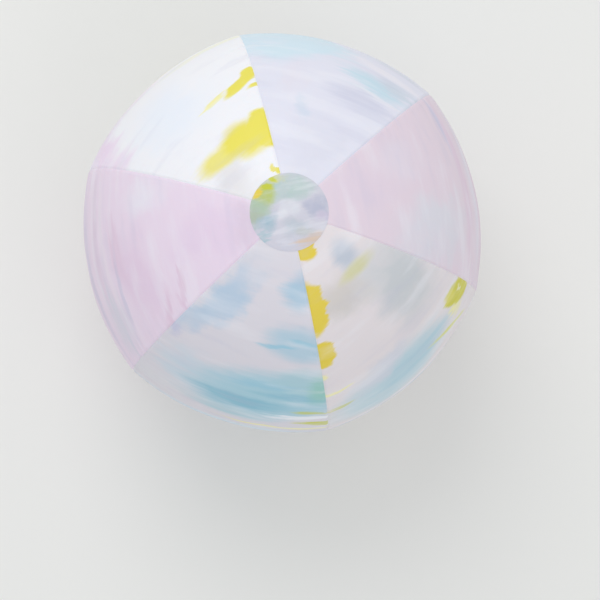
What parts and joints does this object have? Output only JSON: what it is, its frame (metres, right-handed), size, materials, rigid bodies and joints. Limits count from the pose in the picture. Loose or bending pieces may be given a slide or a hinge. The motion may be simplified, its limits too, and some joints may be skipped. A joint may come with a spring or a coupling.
{
  "type": "inflatable beach ball",
  "caption": "Inflatable beach ball of six welded tie-dye film gores with two round end discs and a push-in mouth valve with a tethered plug and a check flap.",
  "frame": {"origin": "centre of the ball", "axes": "+Z along the polar axis, out through the middle of the printed front disc; gore_panel_1 is centred on +X and the next gores follow every 60 degrees about +Z; the valve is in gore_panel_3, 36 degrees from the rear pole"},
  "size_m": [0.345, 0.3538, 0.3458],
  "materials": {
    "film_1": "satin printed PVC film",
    "film_2": "satin printed PVC film",
    "film_3": "satin printed PVC film",
    "film_4": "satin printed PVC film",
    "film_5": "satin printed PVC film",
    "film_6": "satin printed PVC film",
    "disc_front": "satin printed PVC film",
    "disc_rear": "satin printed PVC film",
    "valve_vinyl": "soft moulded vinyl, slightly cloudy",
    "valve_web": "thin clear-white vinyl"
  },
  "bodies": {
    "ball": {"gore_panel_1": "film_1", "gore_panel_2": "film_2", "gore_panel_3": "film_3", "gore_panel_4": "film_4", "gore_panel_5": "film_5", "gore_panel_6": "film_6", "front_end_disc": "disc_front", "rear_end_disc": "disc_rear", "valve_flange": "valve_vinyl", "valve_diaphragm": "valve_web"},
    "stem": {"valve_stem": "valve_vinyl", "plug_strap": "valve_vinyl"},
    "plug": {"valve_plug": "valve_vinyl"},
    "flap": {"check_flap": "valve_web"}
  },
  "joints": [
    {"name": "valve_pop_out", "type": "slide", "parent": "ball", "child": "stem", "axis": [-0.2939, 0.509, -0.809], "range_m": [0, 0.012], "deforming": ["valve_diaphragm"]},
    {"name": "plug_swing", "type": "hinge", "parent": "stem", "child": "plug", "pos_m": [-0.04565, 0.07907, -0.14948], "axis": [-0.866, -0.5, 0], "range_deg": [0, 150], "deforming": ["plug_strap"]},
    {"name": "flap_open", "type": "hinge", "parent": "stem", "child": "flap", "pos_m": [-0.04851, 0.08402, -0.12571], "axis": [-0.866, -0.5, 0], "range_deg": [0, 65], "stiffness_Nm_per_rad": 0.0002}
  ]
}
